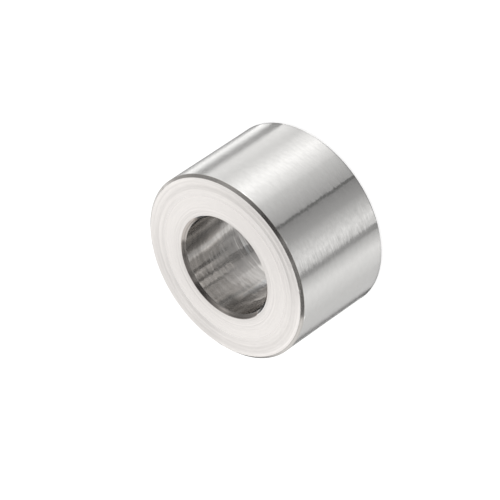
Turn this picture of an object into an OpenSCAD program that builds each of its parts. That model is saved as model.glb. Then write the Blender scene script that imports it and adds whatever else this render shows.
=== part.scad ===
// Spacer sleeve: a plain round ring, turned from stainless bar in one piece.
// It slides over a bolt and keeps the two parts on either side of it apart.
// It stands on one end face, with its axis along +Z and the origin at the
// middle of that face. Both ends are alike, so it fits either way up.

/* [Sleeve] */
// Outer diameter of the sleeve
outer_d = 20; // [14:0.5:60]
// Length from one end face to the other
length = 12; // [3:0.5:100]
// Width of the 45 degree chamfer round the outside of each end face
outer_chamfer = 0.3; // [0.1:0.05:0.5]

/* [Bore] */
// Diameter of the bore, wide enough for an M10 bolt to pass
bore_d = 10.5; // [4:0.1:12]
// Width of the 45 degree chamfer round the bore at each end face
bore_chamfer = 0.35; // [0.1:0.05:0.45]

/* [Hidden] */
// Colour of clean turned stainless steel
steel = [0.79, 0.78, 0.76];
// Facets round the sleeve in the preview
$fn = 128;
outer_r = outer_d / 2;
bore_r = bore_d / 2;
// Inner and outer radius of the flat ring that each end face is
face_inner_r = bore_r + bore_chamfer;
face_outer_r = outer_r - outer_chamfer;

// Half of the sleeve's cross-section, with radius along X and height along Y.
// It runs along the bottom face, up the outer wall, back along the top face
// and down the bore, with a chamfer at each of the four corners.
module wall_section() {
    polygon([
        [face_inner_r, 0],
        [face_outer_r, 0],
        [outer_r, outer_chamfer],
        [outer_r, length - outer_chamfer],
        [face_outer_r, length],
        [face_inner_r, length],
        [bore_r, length - bore_chamfer],
        [bore_r, bore_chamfer],
    ]);
}

// The whole sleeve, its cross-section turned about the axis as on a lathe
module sleeve() {
    color(steel)
        rotate_extrude()
            wall_section();
}

sleeve();
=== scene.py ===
# %% [markdown]
# A turned spacer sleeve in bare stainless steel
#
# The sleeve is a short, thick ring cut from round bar. A bolt passes through its bore, and its two
# flat ends keep two parts a set distance apart. The construction comes from the packed model, which
# already has the right size. This script gives it the look of real turned metal: the finely faced
# ends, the smooth outer wall, the darker bore, and the thin bright and dark chamfers between them.

# %% Load the packed model
import math

import bpy
from mathutils import Matrix, Vector


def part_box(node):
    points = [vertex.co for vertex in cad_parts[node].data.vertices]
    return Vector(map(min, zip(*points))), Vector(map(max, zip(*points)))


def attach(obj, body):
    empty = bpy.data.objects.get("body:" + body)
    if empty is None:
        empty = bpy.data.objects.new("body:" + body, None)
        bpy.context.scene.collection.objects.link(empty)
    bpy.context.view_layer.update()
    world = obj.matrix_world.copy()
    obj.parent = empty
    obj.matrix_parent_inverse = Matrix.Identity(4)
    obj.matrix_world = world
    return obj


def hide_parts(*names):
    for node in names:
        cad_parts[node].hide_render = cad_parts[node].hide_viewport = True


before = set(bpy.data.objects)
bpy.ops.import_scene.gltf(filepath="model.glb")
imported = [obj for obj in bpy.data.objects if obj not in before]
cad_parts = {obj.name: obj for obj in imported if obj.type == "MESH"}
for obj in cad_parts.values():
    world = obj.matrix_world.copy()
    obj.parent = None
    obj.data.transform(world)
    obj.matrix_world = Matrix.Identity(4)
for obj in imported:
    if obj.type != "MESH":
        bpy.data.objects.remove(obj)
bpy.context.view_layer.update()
MM = 0.001
print("packed nodes:", sorted(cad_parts))

# %% [markdown]
# The sizes
#
# Every size is read off the packed model, so the metal always fits it. The packed mesh has its
# corners exactly on the turned surfaces, so the smallest radius anywhere is the bore, and the
# corners that lie on the top plane give the inner and outer edge of the flat end.

# %% Read the sizes off the model
low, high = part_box("sleeve")
length = high.z - low.z
outer_r = (high.x - low.x) / 2
packed = [(math.hypot(v.co.x, v.co.y), v.co.z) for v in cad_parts["sleeve"].data.vertices]
bore_r = min(r for r, z in packed)
end_radii = [r for r, z in packed if z > high.z - 0.001 * MM]
end_inner_r = min(end_radii)
end_outer_r = max(end_radii)
outer_chamfer = outer_r - end_outer_r
end_width = end_outer_r - end_inner_r
bore_chamfer = end_inner_r - bore_r
print(f"length {length / MM:.2f} mm, outside {2 * outer_r / MM:.2f} mm, bore {2 * bore_r / MM:.2f} mm")
print(f"chamfers: outside {outer_chamfer / MM:.2f} mm, bore {bore_chamfer / MM:.2f} mm")

# %% [markdown]
# The camera
#
# A long lens far away keeps the two ends nearly the same size, as in a catalogue picture. The
# camera stands in front and looks down, and it is rolled well over, so that the standing sleeve
# seems to lie on its side with its end towards the lower left. The picture is square, and the
# middle of the top end isn't in the middle of the frame, so the camera is set back from that point
# along its own line of sight.

# %% Set the camera
PICTURE = 500
view_down = math.radians(36.85)
view_roll = math.radians(-124.1)
lens_mm = 284.6
sensor_mm = 36.0
distance = 38.2 * outer_r
end_centre_px = (224.23, 268.08)

camera = bpy.data.objects.new("camera", bpy.data.cameras.new("camera"))
bpy.context.scene.collection.objects.link(camera)
bpy.context.scene.camera = camera
camera.data.sensor_width = sensor_mm
camera.data.lens = lens_mm
camera.data.clip_start = 10 * MM
turn = Matrix.Rotation(math.pi / 2 - view_down, 3, "X") @ Matrix.Rotation(view_roll, 3, "Z")
px_per_m = PICTURE * lens_mm / sensor_mm
end_in_view = Vector((
    (end_centre_px[0] - PICTURE / 2) / px_per_m,
    (PICTURE / 2 - end_centre_px[1]) / px_per_m,
    -1,
)) * distance
camera.matrix_world = Matrix.Translation(Vector((0, 0, length)) - turn @ end_in_view) @ turn.to_4x4()
print("camera at", [round(x, 4) for x in camera.matrix_world.translation])

# %% [markdown]
# The corners of the section
#
# The real sleeve is turned: a tool cuts one outline while the bar spins. So the mesh is made the
# same way, from one closed outline of radius and height that is turned round the axis. A cylinder
# with bevels would look alike from far off, but an outline can also hold what the tool leaves. The
# first of these is the tiny round where two cuts meet. Without it a corner never catches the light.
# A support point on both sides of each arc keeps the flats beside it flat.

# %% Round a corner
CORNER_ROUND = 0.03 * MM
CORNER_STEPS = 4


def rounded(before, corner, after, radius=CORNER_ROUND, steps=CORNER_STEPS):
    """Points of a small arc in place of a corner, with one support point on each side."""
    back = (before - corner).normalized()
    on = (after - corner).normalized()
    half = math.acos(max(-1, min(1, back.dot(on)))) / 2
    reach = radius / math.tan(half)
    start, end = corner + back * reach, corner + on * reach
    centre = corner + (back + on).normalized() * (radius / math.sin(half))
    arc = []
    for k in range(steps + 1):
        arm = (start - centre).lerp(end - centre, k / steps).normalized()
        arc.append(centre + arm * radius)
    return [start + back * reach, *arc, end + on * reach]


print(f"corners are rounded by {CORNER_ROUND / MM:.2f} mm in {CORNER_STEPS} steps")

# %% [markdown]
# The outer band of the top end
#
# The outer third of the top end isn't quite flat. It falls towards the rim in a few steps, a
# twentieth of a millimetre in all, where the tool came in at the start of the facing cut. A grey
# ring painted on a flat end would do for one view. But polished metal shows slopes and not depths,
# so the band is a list of slopes, and each view shows it with its own light.

# %% Shape the outer band
# How steeply the band falls: from this share of the end's width outwards, in degrees
BAND_SLOPES = [(0.69, 1.6), (0.712, 5.2), (0.78, 0.8), (0.87, 3.6), (0.94, -2.6), (1.0, 0.0)]


def band_depth(r):
    """How far the outer band has fallen at this radius."""
    depth = 0
    for (share, slope), (next_share, _) in zip(BAND_SLOPES, BAND_SLOPES[1:]):
        start = end_inner_r + share * end_width
        stop = end_inner_r + next_share * end_width
        depth += max(0, min(r, stop) - start) * math.tan(math.radians(slope))
    return depth


band_drop = band_depth(end_outer_r)
print(f"at the rim the outer band has fallen {band_drop / MM:.3f} mm")

# %% [markdown]
# The corners in order
#
# The outline goes up the outer wall, in over the top end, down the bore and out again below. Each
# corner says which zone begins there, so that the zones can have finishes of their own. Only the
# top end has the fallen band. The end that it stands on is faced flat.

# %% List the corners
outline_corners = [
    ("end", end_inner_r, 0),
    ("chamfer", end_outer_r, 0),
    ("wall", outer_r, outer_chamfer),
    ("chamfer", outer_r, length - outer_chamfer),
    ("end", end_outer_r, length - band_drop),
    ("bore_edge", end_inner_r, length),
    ("bore", bore_r, length - bore_chamfer),
    ("bore_edge", bore_r, bore_chamfer),
]
print(len(outline_corners), "corners in the outline")

# %% [markdown]
# Facing rings
#
# The facing tool starts at the rim and feeds inwards. Where it dwells or meets a hard spot it
# leaves a ring a few thousandths of a millimetre deep. They are far too shallow to see as steps,
# but polished metal shows a change of slope of one degree. So they are real grooves in the mesh.

# %% Cut the facing rings
# Each ring: place as a share of the end's width from the bore, width and depth in millimetres
FACING_RINGS = [
    (0.040, 0.10, 0.0020),
    (0.085, 0.09, 0.0012),
    (0.300, 0.12, 0.0006),
    (0.580, 0.26, 0.0022),
    (0.640, 0.10, 0.0012),
    (0.742, 0.20, 0.0060),
    (0.800, 0.10, 0.0020),
    (0.846, 0.12, 0.0030),
    (0.885, 0.10, 0.0020),
    (0.922, 0.14, 0.0035),
]
RING_POINTS = 8


def ring_depth_at(r):
    """How deep the facing rings are at this radius."""
    depth = 0
    for share, width, ring_depth in FACING_RINGS:
        middle = end_inner_r + share * end_width
        across = (r - middle) / (width * MM / 2)
        if abs(across) < 1:
            depth = max(depth, ring_depth * MM * (1 + math.cos(math.pi * across)) / 2)
    return depth


def facing_radii():
    """Radii that follow every ring and every change of slope, from the bore outwards."""
    radii = [end_inner_r + share * end_width for share, _ in BAND_SLOPES[:-1]]
    for share, width, _ in FACING_RINGS:
        middle = end_inner_r + share * end_width
        for k in range(RING_POINTS + 1):
            radii.append(middle + (k / RING_POINTS - 0.5) * width * MM)
    return sorted(radii)


print(len(FACING_RINGS), "rings on each end,", len(facing_radii()), "points across it")

# %% [markdown]
# The whole outline
#
# Now the outline is put together. Each corner becomes its small arc, and after the arc that begins
# an end come the points of the rings and the band. The bottom end runs outwards and the top end
# inwards, so the same radii serve for both, taken in opposite order.

# %% Put the outline together
points, zones = [], []
for i, (zone, r, z) in enumerate(outline_corners):
    before = Vector(outline_corners[i - 1][1:])
    corner = Vector((r, z))
    after = Vector(outline_corners[(i + 1) % len(outline_corners)][1:])
    arc = rounded(before, corner, after)
    points += arc
    zones += [zone] * len(arc)
    if zone == "end":
        outwards = after.x > corner.x
        side = 1 if outwards else -1
        plane = 0 if outwards else length
        for ring_r in facing_radii()[::side]:
            fall = ring_depth_at(ring_r) + (0 if outwards else band_depth(ring_r))
            points.append(Vector((ring_r, plane + side * fall)))
            zones.append(zone)
print(len(points), "points in the outline")

# %% [markdown]
# Turning it
#
# The outline goes round in small steps, and each step joins to the next with four-sided faces. With
# several hundred steps the rim is round even close up, and the light runs smoothly round the wall.

# %% Turn the outline
TURN_STEPS = 360
ZONES = ["end", "chamfer", "wall", "bore_edge", "bore"]


def turned(name, section, section_zones, steps=TURN_STEPS):
    """A closed outline turned round the Z axis, with one material slot for each zone."""
    verts, faces, slots = [], [], []
    for k in range(steps):
        angle = 2 * math.pi * k / steps
        c, s = math.cos(angle), math.sin(angle)
        verts += [(p.x * c, p.x * s, p.y) for p in section]
    n = len(section)
    for k in range(steps):
        here, there = k * n, (k + 1) % steps * n
        for j in range(n):
            m = (j + 1) % n
            faces.append((here + j, there + j, there + m, here + m))
            slots.append(ZONES.index(section_zones[j]))
    mesh = bpy.data.meshes.new(name)
    mesh.from_pydata(verts, [], faces)
    mesh.polygons.foreach_set("material_index", slots)
    mesh.polygons.foreach_set("use_smooth", [True] * len(faces))
    mesh.update()
    piece = bpy.data.objects.new(name, mesh)
    bpy.context.scene.collection.objects.link(piece)
    return piece


sleeve = turned("turned_sleeve", points, zones)
print(len(sleeve.data.polygons) * 2, "triangles")

# %% [markdown]
# Dents in the rim
#
# Loose sleeves knock against each other in their box, and the sharp rim takes the knocks. Each dent
# is under a millimetre long and no deeper than a sheet of paper is thick. A texture can't change an
# outline, so the dents are pressed into the mesh. The push is strongest on the edge itself and
# fades out round it, so that no facet shows.

# %% Dent the rim
# Each dent: degrees round from the front, length and depth in millimetres
RIM_DENTS = [
    (98, 0.9, 0.07),
    (-20, 0.8, 0.03),
    (141, 0.7, 0.04),
    (-142, 0.8, 0.05),
    (-37, 0.5, 0.03),
    (-61, 0.6, 0.03),
]
DENT_REACH = 0.45 * MM
# The way that a dent pushes the metal: inwards, and mostly down
DENT_PUSH = Vector((-0.38, -0.92))


def dent_rim(mesh):
    """Presses a few small dents into the edge between the top end and its chamfer."""
    edge = Vector((end_outer_r, length - band_drop))
    for vert in mesh.vertices:
        r = math.hypot(vert.co.x, vert.co.y)
        near_edge = 1 - (Vector((r, vert.co.z)) - edge).length / DENT_REACH
        if near_edge <= 0:
            continue
        place = math.degrees(math.atan2(vert.co.x, -vert.co.y))
        for middle, dent_length, depth in RIM_DENTS:
            along = math.radians((place - middle + 180) % 360 - 180) * r / (dent_length * MM / 2)
            if abs(along) < 1:
                press = depth * MM * near_edge ** 2 * math.cos(math.pi / 2 * along) ** 2
                share = (r + DENT_PUSH.x * press) / r
                vert.co = (vert.co.x * share, vert.co.y * share, vert.co.z + DENT_PUSH.y * press)


dent_rim(sleeve.data)
print(len(RIM_DENTS), "dents, the deepest", max(depth for _, _, depth in RIM_DENTS), "mm")

# %% [markdown]
# The bore, a hair off the middle
#
# The bore is cut in a second clamping, so it is never quite in the middle. Here it is off by about
# a twentieth of a millimetre, which makes the flat ring a little wider on one side. The mesh is
# already turned, so the bore's points are moved, and the move fades out over the inner part of the
# ends. Their rings then stay round the axis, as they were cut in the first clamping.

# %% Set the bore off the middle
BORE_SHIFT = 0.055 * MM
BORE_SHIFT_PLACE = math.radians(85)
SHIFT_FADE = 0.3 * end_width


def shift_bore(mesh):
    """Moves the bore to one side, fading out over the inner part of the ends."""
    for vert in mesh.vertices:
        beyond = (math.hypot(vert.co.x, vert.co.y) - end_inner_r) / SHIFT_FADE
        share = BORE_SHIFT * max(0, min(1, 1 - beyond))
        vert.co.x += share * math.sin(BORE_SHIFT_PLACE)
        vert.co.y -= share * math.cos(BORE_SHIFT_PLACE)


shift_bore(sleeve.data)
print(f"the bore is {BORE_SHIFT / MM:.3f} mm off the middle")

# %% [markdown]
# In place of the packed solid
#
# The turned mesh stands for the one solid of the packed model, and has its size. The sleeve has no
# joint, so it rides on the one body that there is.

# %% Stand in for the packed solid
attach(sleeve, "root")
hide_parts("sleeve")
print(sleeve.name, "stands for the packed sleeve")

# %% [markdown]
# Helpers for material nodes
#
# A finish in Blender is a net of small nodes: a sum here, a noise there. Written out one by one they
# hide what they are for. So a few helpers make one node each and hand back its result, and then a
# finish reads almost like a sum on paper.

# %% Write the node helpers


class NodeNet:
    """A material and its net of nodes, with helpers that add to it."""

    def __init__(self, name):
        self.material = bpy.data.materials.new(name)
        self.material.use_nodes = True
        self.nodes = self.material.node_tree.nodes
        self.links = self.material.node_tree.links
        self.nodes.clear()

    def join(self, output, socket):
        self.links.new(output, socket)

    def put(self, value, socket):
        """Sets a socket to a number or joins an output to it."""
        if isinstance(value, (int, float)):
            socket.default_value = value
        else:
            self.join(value, socket)

    def math(self, operation, *values):
        node = self.nodes.new("ShaderNodeMath")
        node.operation = operation
        for value, socket in zip(values, node.inputs):
            self.put(value, socket)
        return node.outputs[0]

    def product(self, first, *others):
        """Several values multiplied together."""
        for other in others:
            first = self.math("MULTIPLY", first, other)
        return first

    def varied(self, mark, amount, level=1.0):
        """A factor that goes from its level up with the mark by this amount, or down if that is below 0."""
        return self.math("MULTIPLY_ADD", mark, amount, level)

    def ramp(self, value, low, high):
        """A smooth step from 0 to 1 between two values."""
        node = self.nodes.new("ShaderNodeMapRange")
        node.interpolation_type = "SMOOTHSTEP"
        self.put(value, node.inputs["Value"])
        self.put(low, node.inputs["From Min"])
        self.put(high, node.inputs["From Max"])
        return node.outputs["Result"]

    def tones(self, value, low, high, stops):
        """A brightness that follows a list of stops between two values."""
        share = self.nodes.new("ShaderNodeMapRange")
        self.put(value, share.inputs["Value"])
        self.put(low, share.inputs["From Min"])
        self.put(high, share.inputs["From Max"])
        ramp = self.nodes.new("ShaderNodeValToRGB")
        elements = ramp.color_ramp.elements
        while len(elements) < len(stops):
            elements.new(1)
        for element, (place, tone) in zip(elements, stops):
            element.position = place
            element.color = (tone, tone, tone, 1)
        self.join(share.outputs["Result"], ramp.inputs[0])
        return ramp.outputs[0]


print("node helpers:", [name for name in vars(NodeNet) if not name.startswith("_")])

# %% [markdown]
# Where a point is on the sleeve
#
# The marks of turning run round the axis, so a finish has to know which way is round. A picture
# wrapped over the metal would need the mesh unrolled first, and would show a seam. A sum does it
# from the position alone: the distance from the axis, the height, and the direction outwards. Noise
# that is read with these runs round the sleeve without a seam, and the direction also tells how
# near a point is to a stain or a rubbed place.

# %% Find the place on the sleeve
# Each noise is a slice through one big noise, and the slices are this far apart
SEED_STEP = 7.3


class TurnedNet(NodeNet):
    """A net of nodes that knows where on a turned piece each point is."""

    def __init__(self, name):
        super().__init__(name)
        self.find_place()

    def vector(self, operation, *values):
        node = self.nodes.new("ShaderNodeVectorMath")
        node.operation = operation
        for value, socket in zip(values, node.inputs):
            self.join(value, socket)
        return node

    def scaled(self, vector, amount):
        node = self.vector("SCALE", vector)
        self.put(amount, node.inputs["Scale"])
        return node.outputs["Vector"]

    def three(self, x, y, z):
        node = self.nodes.new("ShaderNodeCombineXYZ")
        for value, socket in zip((x, y, z), node.inputs):
            self.put(value, socket)
        return node.outputs[0]

    def split(self, vector):
        node = self.nodes.new("ShaderNodeSeparateXYZ")
        self.join(vector, node.inputs[0])
        return node.outputs

    def find_place(self):
        """The radius, the height, and the directions outwards, round and up at each point."""
        x, y, z = self.split(self.nodes.new("ShaderNodeTexCoord").outputs["Object"])
        across = self.three(x, y, 0)
        self.radius = self.vector("LENGTH", across).outputs["Value"]
        self.height = z
        self.outwards = self.vector("NORMALIZE", across).outputs["Vector"]
        self.cos, self.sin, _ = self.split(self.outwards)
        self.round = self.three(self.math("MULTIPLY", self.sin, -1), self.cos, 0)
        self.up = self.three(0, 0, 1)
        self.normal = self.nodes.new("ShaderNodeNewGeometry").outputs["Normal"]

    def marks(self, along, per_turn, per_mm, detail=2, seed=0):
        """Noise about 0, from -0.5 to 0.5: so many marks in a turn, and so many in a millimetre."""
        reach = per_turn / (2 * math.pi)
        spot = self.three(
            self.math("MULTIPLY", self.cos, reach),
            self.math("MULTIPLY", self.sin, reach),
            self.math("MULTIPLY", along, per_mm / MM),
        )
        noise = self.nodes.new("ShaderNodeTexNoise")
        noise.noise_dimensions = "4D"
        noise.inputs["W"].default_value = seed * SEED_STEP
        noise.inputs["Scale"].default_value = 1
        noise.inputs["Detail"].default_value = detail
        self.join(spot, noise.inputs["Vector"])
        return self.math("SUBTRACT", noise.outputs[0], 0.5)

    def near(self, place, half_width):
        """1 at a place round the sleeve, in degrees from the front, and 0 beyond half_width."""
        angle = math.radians(place)
        way = self.three(math.sin(angle), -math.cos(angle), 0)
        closeness = self.vector("DOT_PRODUCT", self.outwards, way).outputs["Value"]
        return self.ramp(closeness, math.cos(math.radians(half_width)), 1)


print("helpers for a place:", [name for name in vars(TurnedNet) if not name.startswith("_")])

# %% [markdown]
# Bare steel
#
# All the zones are the same steel, so they share one recipe: full metal, a pale neutral colour, and
# marks that run round the axis. The marks are finer than a mesh can hold, so the shader gives them
# in two parts. The roughness is stretched: light spreads widely across the marks and hardly along
# them, which is what the shader's anisotropy does. And the surface's direction leans a little from
# mark to mark, which breaks up the edges of each reflection.

# %% Write the recipe for bare steel
# A quarter turn, so that the spread lies across the marks
ACROSS_THE_MARKS = 0.25


class Steel(TurnedNet):
    """A node material for turned steel."""

    def __init__(self, name, colour, roughness, anisotropy):
        super().__init__(name)
        self.shader = self.nodes.new("ShaderNodeBsdfPrincipled")
        self.shader.inputs["Base Color"].default_value = (*colour, 1)
        self.shader.inputs["Metallic"].default_value = 1
        self.shader.inputs["Roughness"].default_value = roughness
        self.shader.inputs["Anisotropic"].default_value = anisotropy
        self.shader.inputs["Anisotropic Rotation"].default_value = ACROSS_THE_MARKS
        round_axis = self.nodes.new("ShaderNodeTangent")
        round_axis.direction_type = "RADIAL"
        round_axis.axis = "Z"
        self.join(round_axis.outputs[0], self.shader.inputs["Tangent"])
        output = self.nodes.new("ShaderNodeOutputMaterial")
        self.join(self.shader.outputs[0], output.inputs["Surface"])

    def lean(self, direction, noise, degrees):
        """Tips the surface towards a direction and back with the noise, by this many degrees."""
        push = self.scaled(direction, self.math("MULTIPLY", noise, 2 * math.radians(degrees)))
        tipped = self.vector("ADD", self.normal, push).outputs["Vector"]
        self.normal = self.vector("NORMALIZE", tipped).outputs["Vector"]
        self.join(self.normal, self.shader.inputs["Normal"])

    def shade(self, *amounts):
        """Multiplies the colour by these amounts."""
        colour = self.nodes.new("ShaderNodeRGB")
        colour.outputs[0].default_value = self.shader.inputs["Base Color"].default_value
        result = colour.outputs[0]
        for amount in amounts:
            result = self.scaled(result, amount)
        self.join(result, self.shader.inputs["Base Color"])


print("steel helpers:", [name for name in vars(Steel) if not name.startswith("_")])

# %% [markdown]
# The faced ends
#
# The end is the lightest zone, as it mirrors the white tent, and its colour is also painted lighter
# and warmer than the wall's: the same steel, with painted light. What shows that it was turned are
# its rings: the coarse ones are in the mesh, and the fine ones are noise along the radius, which
# leans the surface and shades it a little. They are coarser near the bore and in the outer band,
# where the tool went in and out. The slower changes of tone are one list from the bore to the rim.
# Besides the rings' own tone, it holds a painted highlight at the rim and painted shade at the bore's
# edge and in the darker bands. At the front the outer band has painted shade, and there is one smear.

# %% Finish the ends
# Tone with painted highlight and shade, from the bore's chamfer to the rim: share of the width, and tone
RING_TONES_WITH_PAINTED_LIGHT = [
    (0.00, 0.91),
    (0.05, 0.945),
    (0.12, 0.98),
    (0.32, 1.00),
    (0.50, 1.00),
    (0.575, 0.957),
    (0.61, 0.967),
    (0.66, 0.995),
    (0.685, 1.02),
    (0.71, 0.99),
    (0.75, 0.93),
    (0.84, 0.965),
    (0.90, 0.98),
    (0.955, 1.05),
    (0.985, 1.02),
]
# Painted shade on the outer band at the front: share of the width, and how much
BAND_PAINTED_SHADE_TONES = [
    (0.70, 0.0),
    (0.745, 0.7),
    (0.82, 0.6),
    (0.86, 0.0),
    (0.89, 0.3),
    (0.93, 1.0),
    (0.98, 1.0),
]
# Degrees round from the front, and half the width in degrees
BAND_PAINTED_SHADE_SIDE = (10, 75)
SMEARED_SIDE = (-155, 16)


def end_share(share):
    """The radius at this share of the end's width."""
    return end_inner_r + share * end_width


def end_steel():
    """The faced ends: pale, with fine rings that are coarser near the bore and in the outer band."""
    # Painted light: the end's colour is lighter and warmer than the wall's, though both are the same steel
    steel = Steel("faced_end", (0.86, 0.826, 0.80), roughness=0.27, anisotropy=0.7)
    band = steel.ramp(steel.radius, end_share(0.50), end_share(0.58))
    hub = steel.ramp(steel.radius, end_share(0.30), end_share(0.16))
    coarser = steel.varied(band, 0.26, steel.varied(hub, 0.36, 0.06))
    fine = steel.marks(steel.radius, per_turn=4, per_mm=6, detail=3, seed=1)
    grooves = steel.marks(steel.radius, per_turn=5, per_mm=6, detail=3, seed=16)
    broad = steel.marks(steel.radius, per_turn=3, per_mm=1.6, detail=2, seed=8)
    specks = steel.marks(steel.radius, per_turn=70, per_mm=7, detail=2, seed=12)
    steel.lean(steel.outwards, fine, degrees=16)
    steel.lean(steel.outwards, broad, degrees=8)
    steel.join(steel.varied(band, 0.03, 0.26), steel.shader.inputs["Roughness"])
    smear = steel.product(steel.near(*SMEARED_SIDE), band)
    band_painted_shade = steel.tones(steel.radius, end_inner_r, end_outer_r, BAND_PAINTED_SHADE_TONES)
    band_painted_shade = steel.product(band_painted_shade, steel.near(*BAND_PAINTED_SHADE_SIDE))
    steel.shade(
        # The rings' tone, with a painted highlight at the rim and painted shade in the darker bands
        steel.tones(steel.radius, end_inner_r, end_outer_r, RING_TONES_WITH_PAINTED_LIGHT),
        steel.varied(broad, 0.12),
        steel.varied(steel.product(grooves, coarser), 1.0),
        steel.varied(specks, steel.varied(band, 0.08, 0.07)),
        steel.varied(smear, -0.06),
        # Painted shade on the outer band at the front
        steel.varied(band_painted_shade, -0.08),
    )
    return steel.material


end_finish = end_steel()
print(end_finish.name, "has", len(end_finish.node_tree.nodes), "nodes")

# %% [markdown]
# The outer wall
#
# The wall is smooth bright metal, so it mirrors the strips round it in long sharp streaks. Its marks
# are short fine strokes round the axis. They lean the surface to the left and right, and so they
# fray the edges of the streaks. That shows most where fingers and neighbours have rubbed the wall,
# so the places are listed with how rubbed they are. Along the top edge tiny nicks are painted
# bright, as painted glints.

# %% Finish the wall
# Where the wall is rubbed: degrees round from the front, half the width in degrees, and how much
RUBBED_PLACES = [(-20, 11, 0.85), (1, 4, 0.62), (33, 12, 0.28), (150, 30, 0.5), (-120, 25, 0.4)]
LEAST_RUBBED = 0.22
# The painted glints of the nicks begin and are full at these depths below the chamfer
GLINTS_FROM = 0.26 * MM
GLINTS_FULL = 0.10 * MM


def wall_steel():
    """The outer wall: smooth, with short fine strokes round it, stronger where it is rubbed."""
    steel = Steel("turned_wall", (0.703, 0.695, 0.681), roughness=0.19, anisotropy=1.0)
    rubbed = LEAST_RUBBED
    for place, half_width, amount in RUBBED_PLACES:
        rubbed = steel.varied(steel.near(place, half_width), amount, rubbed)
    strokes = steel.marks(steel.height, per_turn=70, per_mm=8, detail=3, seed=2)
    strokes = steel.product(strokes, rubbed)
    patches = steel.marks(steel.height, per_turn=110, per_mm=2.4, detail=3, seed=6)
    patches = steel.product(patches, rubbed)
    steel.lean(steel.round, strokes, degrees=5)
    waves = steel.marks(steel.height, per_turn=30, per_mm=6, seed=3)
    steel.lean(steel.up, waves, degrees=4)
    edge = length - outer_chamfer
    nick_glints = steel.ramp(steel.marks(steel.height, per_turn=60, per_mm=1, seed=17), 0.06, 0.20)
    nick_glints = steel.product(nick_glints, steel.ramp(steel.height, edge - GLINTS_FROM, edge - GLINTS_FULL))
    steel.shade(
        steel.varied(strokes, 0.35),
        steel.varied(patches, 0.35),
        # Painted glints along the top edge, where nicks would catch the light
        steel.varied(nick_glints, 0.4),
    )
    return steel.material


wall_finish = wall_steel()
print(wall_finish.name, "has", len(wall_finish.node_tree.nodes), "nodes")

# %% [markdown]
# The outer chamfers
#
# The chamfer is one quick cut, less smooth than the wall. From the camera it is a line two or three
# pixels wide, so a few marks along it are all that it needs.

# %% Finish the outer chamfers


def chamfer_steel():
    """The outer chamfers: a narrow cut with a few marks along it."""
    steel = Steel("cut_chamfer", (0.67, 0.642, 0.612), roughness=0.20, anisotropy=0.6)
    lines = steel.marks(steel.radius, per_turn=3, per_mm=9, detail=2, seed=9)
    steel.lean(steel.outwards, lines, degrees=14)
    steel.shade(steel.varied(lines, 0.6, 0.98))
    return steel.material


chamfer_finish = chamfer_steel()
print(chamfer_finish.name, "has", len(chamfer_finish.node_tree.nodes), "nodes")

# %% [markdown]
# The bore's chamfers
#
# The bore's edge is broken with a coarse tool. It mirrors the dark bore on one side and the tent on
# the other. It is also painted darker than the other zones, and painted shade and painted light in
# places round it are a list, each one a factor that fades out to both sides.

# %% Finish the bore's chamfers
# Painted shade and light: degrees round from the front, half the width, and how much lighter
EDGE_PAINTED_LIGHT_AND_SHADE = [
    (-110, 34, -0.40),
    (-77, 14, 4.40),
    (-62, 28, 0.60),
    (52, 18, -0.24),
    (73, 11, 2.50),
    (82, 13, 0.50),
    (133, 11, 0.45),
    (-162, 24, -0.22),
]


def bore_edge_steel():
    """The bore's chamfers: cut more roughly, with painted shade on one side and painted light on another.
    """
    # Painted shade: this colour is darker than the steel of the other zones
    steel = Steel("bore_edge", (0.59, 0.545, 0.51), roughness=0.20, anisotropy=0.6)
    lines = steel.marks(steel.radius, per_turn=3, per_mm=8, detail=2, seed=10)
    steel.lean(steel.outwards, lines, degrees=14)
    painted_places = [steel.varied(steel.near(place, half_width), more) for place, half_width, more in EDGE_PAINTED_LIGHT_AND_SHADE]
    steel.shade(steel.varied(lines, 1.2), *painted_places)
    return steel.material


bore_edge_finish = bore_edge_steel()
print(bore_edge_finish.name, "has", len(bore_edge_finish.node_tree.nodes), "nodes")

# %% [markdown]
# The bore
#
# The bore is reamed: smooth strokes round it, and towards the far end the chatter of a tool that
# hangs out too far, whose ticks are painted lighter as painted glints. One groove runs round it where
# the tool paused, and on the far wall there is a comb of short ticks, painted bright as painted
# glints. Paint alone would look flat here: what light there is comes in at the open end below and
# reaches the camera in two or three bounces. Each bounce repeats the marks, so they are kept faint.
# Towards the far end the bore has painted shade, and painted light and painted shade in places
# round it are again a list, now with the height at which each one begins.

# %% Finish the bore
# Places of painted light and painted shade: degrees round from the front and half the width, the
# share of the length at which each begins and is full, and how much lighter it is
BORE_PAINTED_LIGHT_AND_SHADE = [
    (146, 8, 0.52, 0.42, 0.25),
    (-138, 8, 0.90, 0.70, 0.75),
    (-132, 8, 0.66, 0.72, -0.38),
    (129, 6, 1.20, 1.10, -0.25),
    (98, 15, 1.20, 1.10, 0.85),
    (-95, 15, 1.20, 1.10, 0.85),
    (102, 8, 0.90, 0.97, 0.35),
    (118, 9, 0.68, 0.78, -0.34),
    (136, 11, 0.66, 0.78, -0.37),
    (146, 5, 0.62, 0.70, -0.20),
    (150, 6, 0.76, 0.86, -0.24),
    (-146, 10, 0.74, 0.84, -0.44),
    (-112, 13, 0.74, 0.88, -0.20),
    (165, 10, 0.80, 0.66, -0.22),
    (165, 10, 0.50, 0.42, 0.22),
    (-176, 14, 0.50, 0.42, 0.22),
    (176, 6, 0.50, 0.43, 0.12),
]
# Degrees round from the front, and half the width in degrees
FAR_SIDE = (180, 85)
COMB_GLINTS_SIDE = (174, 14)
DEEP_RINGS_SIDE = (170, 18)
PAUSE_SIDE = (140, 48)


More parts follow.
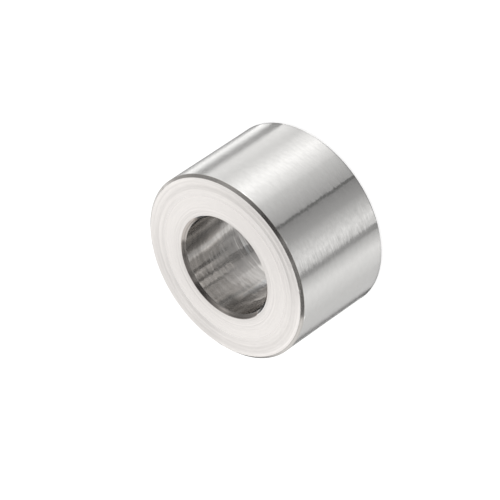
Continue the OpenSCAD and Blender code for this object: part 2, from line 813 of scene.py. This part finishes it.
def bore_steel():
    """The bore: reamed smooth, with chatter marks towards the far end, and painted light and shade."""
    steel = Steel("reamed_bore", (0.684, 0.661, 0.639), roughness=0.14, anisotropy=1.0)

    def rising(begins, full):
        """A smooth step between two shares of the length."""
        return steel.ramp(steel.height, begins * length, full * length)

    deep = rising(0.48, 0.42)
    strokes = steel.marks(steel.height, per_turn=22, per_mm=4, detail=3, seed=4)
    ripples = steel.marks(steel.height, per_turn=9, per_mm=3.6, detail=1, seed=11)
    ticks = steel.marks(steel.height, per_turn=17, per_mm=2.7, detail=1, seed=13)
    # Painted glints: the chatter ticks only ever make the metal lighter
    chatter_glints = steel.product(steel.ramp(ticks, 0.0, 0.14), deep)
    far_side = steel.near(*FAR_SIDE)
    steel.lean(steel.round, steel.product(strokes, far_side), degrees=1.8)
    steel.lean(steel.round, steel.product(ripples, deep), degrees=5)
    # Painted glints: a comb of short light ticks on the far wall
    comb_glints = steel.marks(steel.height, per_turn=30, per_mm=3.4, detail=1, seed=14)
    comb_glints = steel.product(steel.ramp(comb_glints, 0.0, 0.16), steel.near(*COMB_GLINTS_SIDE), rising(0.55, 0.62))
    rings = steel.marks(steel.height, per_turn=6, per_mm=10, detail=1, seed=18)
    rings = steel.product(rings, steel.near(*DEEP_RINGS_SIDE), deep)
    pause = steel.product(rising(0.80, 0.83), rising(0.87, 0.84), steel.near(*PAUSE_SIDE))
    waves = steel.marks(steel.height, per_turn=26, per_mm=5, seed=5)
    steel.lean(steel.up, steel.product(waves, far_side), degrees=6.5)
    # Painted light and painted shade in places round the bore
    painted_places = []
    for place, half_width, begins, full, more in BORE_PAINTED_LIGHT_AND_SHADE:
        there = steel.product(steel.near(place, half_width), rising(begins, full))
        painted_places.append(steel.varied(there, more))
    steel.shade(
        steel.varied(strokes, 0.20),
        steel.varied(ripples, 0.35),
        steel.varied(comb_glints, 0.28, 0.97),
        steel.varied(rings, 2.4),
        steel.varied(pause, -0.12),
        steel.varied(chatter_glints, 0.42),
        # Painted shade: darker towards the far end of the bore
        steel.varied(deep, -0.12),
        *painted_places,
    )
    return steel.material


bore_finish = bore_steel()
print(bore_finish.name, "has", len(bore_finish.node_tree.nodes), "nodes")

# %% [markdown]
# Putting the finishes on
#
# Each face of the turned mesh already knows its zone by number. So the five finishes only have to
# be added to the piece in the same order as the zones.

# %% Put the finishes on
finishes = {
    "end": end_finish,
    "chamfer": chamfer_finish,
    "wall": wall_finish,
    "bore_edge": bore_edge_finish,
    "bore": bore_finish,
}
for zone in ZONES:
    sleeve.data.materials.append(finishes[zone])
print("materials:", [m.name for m in sleeve.data.materials])

# %% [markdown]
# The floor's paint
#
# The picture's ground is pure white. More light would bring the floor there, but it would wash out
# the sleeve too. So the floor is a pale plain paint that takes the sleeve's shadow, and a lift is
# added to it for the camera and for what metal and glass show. The light that the floor throws on
# the sleeve stays as it is.

# %% Mix the floor's paint
FLOOR_PAINT = 0.45
FLOOR_LIFT = 0.75


def seen_directly(net):
    """1 for the camera's rays and for those that a reflection or glass sends on, and else 0."""
    path = net.nodes.new("ShaderNodeLightPath")
    total = path.outputs["Is Camera Ray"]
    for kind in ("Is Glossy Ray", "Is Transmission Ray"):
        total = net.math("MAXIMUM", total, path.outputs[kind])
    return total


def floor_paint():
    net = NodeNet("pale_floor")
    paint = net.nodes.new("ShaderNodeBsdfDiffuse")
    paint.inputs["Color"].default_value = (FLOOR_PAINT, FLOOR_PAINT, FLOOR_PAINT, 1)
    lift = net.nodes.new("ShaderNodeEmission")
    net.join(net.math("MULTIPLY", seen_directly(net), FLOOR_LIFT), lift.inputs["Strength"])
    both = net.nodes.new("ShaderNodeAddShader")
    net.join(paint.outputs[0], both.inputs[0])
    net.join(lift.outputs[0], both.inputs[1])
    output = net.nodes.new("ShaderNodeOutputMaterial")
    net.join(both.outputs[0], output.inputs["Surface"])
    return net.material


pale_floor = floor_paint()
print("floor paint:", FLOOR_PAINT, "lifted by", FLOOR_LIFT)

# %% [markdown]
# The floor
#
# The floor is a wide disc with a round plug under the bore. The camera and the light see the plug
# as floor, but reflections look through it, as they would through the open end of a sleeve held in
# the air. Otherwise the whole bore would mirror a small bright disc and show no streaks.

# %% Lay the floor
FLOOR_R = 3.0
PLUG_R = bore_r + bore_chamfer / 2
FLOOR_SIDES = 96


def circle(radius):
    """Points of a circle on the floor."""
    turns = [2 * math.pi * k / FLOOR_SIDES for k in range(FLOOR_SIDES)]
    return [(radius * math.cos(turn), radius * math.sin(turn), 0.0) for turn in turns]


def lay_floor(name, verts, faces):
    mesh = bpy.data.meshes.new(name)
    mesh.from_pydata(verts, [], faces)
    mesh.materials.append(pale_floor)
    floor = bpy.data.objects.new(name, mesh)
    bpy.context.scene.collection.objects.link(floor)
    return floor


floor_quads = []
for k in range(FLOOR_SIDES):
    following = (k + 1) % FLOOR_SIDES
    floor_quads.append((k, k + FLOOR_SIDES, following + FLOOR_SIDES, following))
lay_floor("floor", circle(PLUG_R) + circle(FLOOR_R), floor_quads)
plug = lay_floor("floor_plug", circle(PLUG_R), [tuple(range(FLOOR_SIDES))])
plug.visible_glossy = False
print("floor", 2 * FLOOR_R, "m wide, plug", round(2 * PLUG_R / MM, 2), "mm")

# %% [markdown]
# The tent
#
# A small shiny thing is photographed in a white tent, which lights it evenly from everywhere. Here
# the world itself is the tent. There are no lamps, so no lamp shows as a spot in the metal.

# %% Set up the tent
world = bpy.data.worlds.new("tent")
bpy.context.scene.world = world
world.use_nodes = True
tent_light = world.node_tree.nodes["Background"]
tent_light.inputs["Color"].default_value = (1, 1, 1, 1)
tent_light.inputs["Strength"].default_value = 1.0
print("tent strength", tent_light.inputs["Strength"].default_value)

# %% [markdown]
# Where a card must hang
#
# Polished metal has no look of its own: it shows what stands round it. In a plain white tent it
# would look like white plastic. A photographer hangs strips of grey and black paper round it, and
# these show as the soft and sharp streaks. Where each strip goes follows from one rule of mirrors:
# the direction to the camera and the mirrored direction lie evenly on both sides of the surface's
# own direction.

# %% Find the mirrored directions
CARD_DISTANCE = 0.3
to_camera = camera.matrix_world.translation.normalized()


def mirrored(way):
    """The direction that a surface facing this way shows to the camera."""
    return 2 * way.dot(to_camera) * way - to_camera


def facing(place, tip=0):
    """The direction at a place round the sleeve, in degrees from the front, tipped up so much."""
    place, tip = math.radians(place), math.radians(tip)
    return Vector((math.sin(place) * math.cos(tip), -math.cos(place) * math.cos(tip), math.sin(tip)))


print("towards the camera:", [round(x, 3) for x in to_camera])

# %% [markdown]
# The cards' paper
#
# Real strips fade from one tone to the next where they curl. So each card has its brightness
# written on its points, and the paper glows with that brightness. One paper then serves for all the
# cards. The strips are seen by reflections alone. The camera, the shadows and the plain light don't
# meet them.

# %% Make the paper and hang a card


def strip_paper():
    """Paper whose brightness is written on its mesh, from edge to edge."""
    net = NodeNet("strip_paper")
    shade = net.nodes.new("ShaderNodeAttribute")
    shade.attribute_name = "shade"
    glow = net.nodes.new("ShaderNodeEmission")
    net.join(shade.outputs["Fac"], glow.inputs["Strength"])
    output = net.nodes.new("ShaderNodeOutputMaterial")
    net.join(glow.outputs[0], output.inputs["Surface"])
    return net.material


paper = strip_paper()


def hang(name, strip, row, step=1.0):
    """Hangs a card made of rows of points, shaded evenly from its first row to its last.

    A strip may end with factors, which make the first points of every row lighter or darker.
    """
    start, stop, bright_start, bright_stop, *at_foot = strip
    count = max(1, math.ceil(abs(stop - start) / step))
    verts, faces, shades = [], [], []
    for k in range(count + 1):
        row_points = row(start + (stop - start) * k / count)
        n = len(row_points)
        verts += [tuple(point) for point in row_points]
        shade = bright_start + (bright_stop - bright_start) * k / count
        shades += [shade * factor for factor in at_foot] + [shade] * (n - len(at_foot))
        if k:
            a = (k - 1) * n
            faces += [(a + j, a + j + 1, a + n + j + 1, a + n + j) for j in range(n - 1)]
    mesh = bpy.data.meshes.new(name)
    mesh.from_pydata(verts, [], faces)
    mesh.attributes.new("shade", "FLOAT", "POINT").data.foreach_set("value", shades)
    mesh.materials.append(paper)
    card = bpy.data.objects.new(name, mesh)
    bpy.context.scene.collection.objects.link(card)
    card.visible_camera = False
    card.visible_diffuse = False
    card.visible_transmission = False
    card.visible_volume_scatter = False
    card.visible_shadow = False


print("cards hang", CARD_DISTANCE, "m away, in", paper.name)

# %% [markdown]
# Strips on the floor
#
# From this camera the wall mirrors the table just beside its foot. So the strips lie on the floor
# like the leaves of a fan. Each leaf starts at the foot and runs out in the direction in which the
# wall mirrors there, and so its reflection is a straight streak along the sleeve. Further out the
# leaves stand up, for the views from a lower camera.

# %% Lay the strips on the floor
FAN_RISE = 0.05
FAN_GAP = 0.02 * MM
# Each strip: from and to, in degrees round the wall from the front, the brightness at both, and
# for some how much brighter the strip is at the wall's foot
FLOOR_STRIPS = {
    "far_left_glow": (-90, -81.5, 1.62, 0.97),
    "far_left_flag": (-81.5, -73.5, 0.12, 0.16, 1.2),
    "left_paper": (-73.5, -54, 0.72, 0.77),
    "left_light": (-54, -40, 0.81, 1.04),
    "left_shade": (-40, -30.7, 1.01, 0.56),
    "left_flag": (-30.7, -27.1, 0.27, 0.27, 1.4),
    "front_left_light": (-27.1, -20, 0.77, 1.04),
    "front_fade": (-20, -8, 0.96, 0.45),
    "front_shade": (-8, 0.9, 0.45, 0.31),
    "front_line": (0.9, 2.6, 0.145, 0.145, 1.3),
    "front_grey": (2.6, 18, 0.45, 0.80),
    "front_light": (18, 31, 0.89, 1.47, 0.96),
    "right_fade": (31, 44, 1.44, 0.90, 0.97),
    "right_paper": (44, 57.2, 0.88, 1.22),
    "right_flag": (57.2, 65.4, 0.32, 0.40, 1.25),
    "right_light": (65.4, 74.4, 1.12, 1.82, 0.94),
    "far_right_shade": (74.4, 83, 0.63, 0.17),
    "far_right_glow": (83, 90, 0.14, 0.29),
}


def floor_row(place):
    """From the foot out along the floor in the mirrored direction, and then up."""
    foot = facing(place) * outer_r
    way = mirrored(facing(place))
    way.z = 0
    way.normalize()
    row = [foot + way * out for out in (-outer_chamfer, 2 * outer_r, CARD_DISTANCE)]
    return [Vector((p.x, p.y, FAN_GAP)) for p in row] + [Vector((row[-1].x, row[-1].y, FAN_RISE))]


for name, strip in FLOOR_STRIPS.items():
    hang("floor_" + name, strip, floor_row)
print(len(FLOOR_STRIPS), "strips on the floor")

# %% [markdown]
# The crevice
#
# Under the bottom chamfer is a narrow crevice that light hardly enters. The floor there is lifted to
# white like the rest of it, so a thin dark ring is laid into the crevice, and the far rim gets its
# thin dark line.

# %% Lay the ring in the crevice
CREVICE_SHADE = 0.08
CREVICE_RADII = (outer_r - 1.2 * outer_chamfer, outer_r + 0.6 * outer_chamfer)


def ring_row(place, radii):
    """A row across a flat ring, laid just above the strips on the floor."""
    return [facing(place) * r + Vector((0, 0, 2 * FAN_GAP)) for r in radii]


def crevice_row(place):
    return ring_row(place, CREVICE_RADII)


hang("crevice_ring", (-180, 180, CREVICE_SHADE, CREVICE_SHADE), crevice_row, step=2)
print("crevice from", [round(r / MM, 2) for r in CREVICE_RADII], "mm")

# %% [markdown]
# The back papers
#
# Behind the sleeve four papers lie on the floor, light ones and dark ones. The top rim's chamfer
# mirrors them where it bends away to the back. They begin well away from the sleeve. Closer in, the
# edges of the wall would mirror them too.

# %% Lay the back papers
PAPER_REACH = (3.2 * outer_r, 0.9 * CARD_DISTANCE)
# Each paper: from and to, in degrees round from the front, and the brightness at both
BACK_PAPERS = {
    "back_right_paper": (145, 177, 0.87, 1.06),
    "back_left_shade": (183, 196, 0.58, 0.22),
    "back_left_paper": (196, 205, 0.14, 0.14),
    "back_left_glow": (205, 216, 0.24, 0.80),
}


def paper_row(place):
    return ring_row(place, PAPER_REACH)


for name, strip in BACK_PAPERS.items():
    hang(name, strip, paper_row, step=2)
print(len(BACK_PAPERS), "papers from", round(PAPER_REACH[0] / MM), "mm out")

# %% [markdown]
# Strips for the chamfers
#
# The chamfers lean up by 45 degrees, so they mirror an arch that goes over the front of the sleeve
# from side to side. In the picture they are thin dark lines at the front and turn bright at the
# back. A dark ribbon follows that arch. Each piece of it is a little wider than a flat chamfer
# needs, because the light also spreads.

# %% Hang the ribbon
RIM_TIPS = (36, 40, 45, 50, 54)
# Each strip: from and to, in degrees round the rim from the front, and the brightness at both
RIM_STRIPS = {
    "left_paper": (-100, -54.5, 0.86, 0.82),
    "left_flag": (-54.5, -34, 0.13, 0.12),
    "left_grey": (-34, -17, 0.18, 0.24),
    "left_notch": (-17, -9.5, 0.13, 0.14),
    "front_glint": (-9.5, -3, 0.27, 0.16),
    "front_flag": (-3, 13, 0.04, 0.05),
    "front_grey": (13, 22, 0.10, 0.20),
    "right_grey": (22, 40, 0.25, 0.43),
    "right_shade": (40, 46, 0.38, 0.37),
    "right_flag": (46, 66, 0.30, 0.26),
    "right_fade": (66, 84, 0.31, 0.44),
    "far_right_paper": (84, 100, 0.50, 0.90),
}


def rim_row(place):
    return [mirrored(facing(place, tip)) * CARD_DISTANCE for tip in RIM_TIPS]


for name, strip in RIM_STRIPS.items():
    hang("rim_" + name, strip, rim_row, step=3)
print(len(RIM_STRIPS), "strips for the chamfers")

# %% [markdown]
# Strips for the bore
#
# A look into the bore meets its far wall, bounces down and across, and leaves at the open end
# below. So what the bore shows lies all round, well below the sleeve. Its strips hang there on a
# wide bowl, and their double reflections make the streaks that run along the bore.

# %% Hang the bowl
BOWL_TIPS = (-8, -25, -37, -50, -75)
# Each strip: from and to, in degrees round the bowl from the front, and the brightness at both
BOWL_STRIPS = {
    "front_left_flag": (-63, -47, 0.33, 0.31),
    "front_left_grey": (-47, -15, 0.46, 0.43),
    "front_flag": (-15, 4, 0.20, 0.20),
    "right_shade": (4, 36, 0.29, 0.60),
    "right_light": (36, 73, 0.80, 0.98),
    "right_grey": (73, 114, 0.56, 0.48),
    "right_flag": (114, 131, 0.12, 0.12),
    "back_right_light": (131, 144, 0.80, 0.84),
    "back_right_grey": (144, 163, 0.53, 0.46),
    "back_flag": (163, 175, 0.22, 0.21),
    "back_left_light": (175, 203, 0.86, 0.78),
    "left_flag": (203, 214, 0.26, 0.25),
    "left_grey": (214, 282, 0.54, 0.54),
    "left_light": (282, 297, 0.73, 0.71),
}


def bowl_row(place):
    return [facing(place, tip) * CARD_DISTANCE for tip in BOWL_TIPS]


for name, strip in BOWL_STRIPS.items():
    hang("bowl_" + name, strip, bowl_row, step=3)
print(len(BOWL_STRIPS), "strips under the bore")

# %% [markdown]
# A panel overhead
#
# The flat end mirrors the tent behind the sleeve. If all of that were equally bright, no ring on
# the end would show. A grey panel overhead gives the rings something to mirror.

# %% Hang the panel
PANEL_TIPS = (56, 66, 78, 89.9)
PANEL_DISTANCE = 1.1 * CARD_DISTANCE
PANEL_SHADE = 0.40


def panel_row(place):
    return [facing(place, tip) * PANEL_DISTANCE for tip in PANEL_TIPS]


hang("overhead_panel", (-180, 180, PANEL_SHADE, PANEL_SHADE), panel_row, step=6)
print("panel from", PANEL_TIPS[0], "degrees up")

# %% [markdown]
# Finishing
#
# The colours are shown as they are, without a film look.

# %% Finish
bpy.context.scene.view_settings.view_transform = "Standard"
